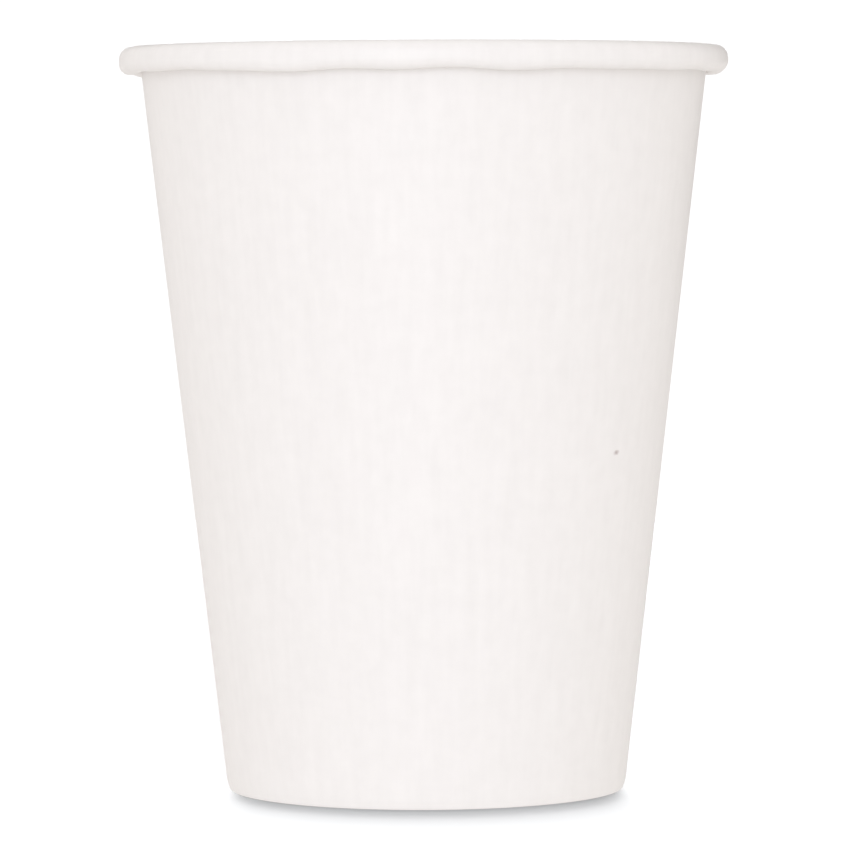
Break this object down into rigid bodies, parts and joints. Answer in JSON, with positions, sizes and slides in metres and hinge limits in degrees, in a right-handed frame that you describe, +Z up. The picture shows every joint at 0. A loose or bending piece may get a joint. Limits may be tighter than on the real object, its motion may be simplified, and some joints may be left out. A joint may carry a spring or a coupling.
{
  "type": "paper cold cup",
  "caption": "Tapered paper drinking cup with a rolled rim, a lapped side seam and a flat recessed base held in a folded foot hem.",
  "frame": {"origin": "on the cup's axis, in the plane that its foot stands on", "axes": "+Z up the cup's axis towards the rolled rim; +Y at the back, through the lapped side seam; +X to the right as seen from the front"},
  "size_m": [0.09, 0.09, 0.11],
  "materials": {
    "coated_board": "coated white paper board, soft satin",
    "base_board": "coated white paper board, soft satin"
  },
  "bodies": {
    "root": {"sidewall": "coated_board", "bottom_disc": "base_board"}
  },
  "joints": []
}
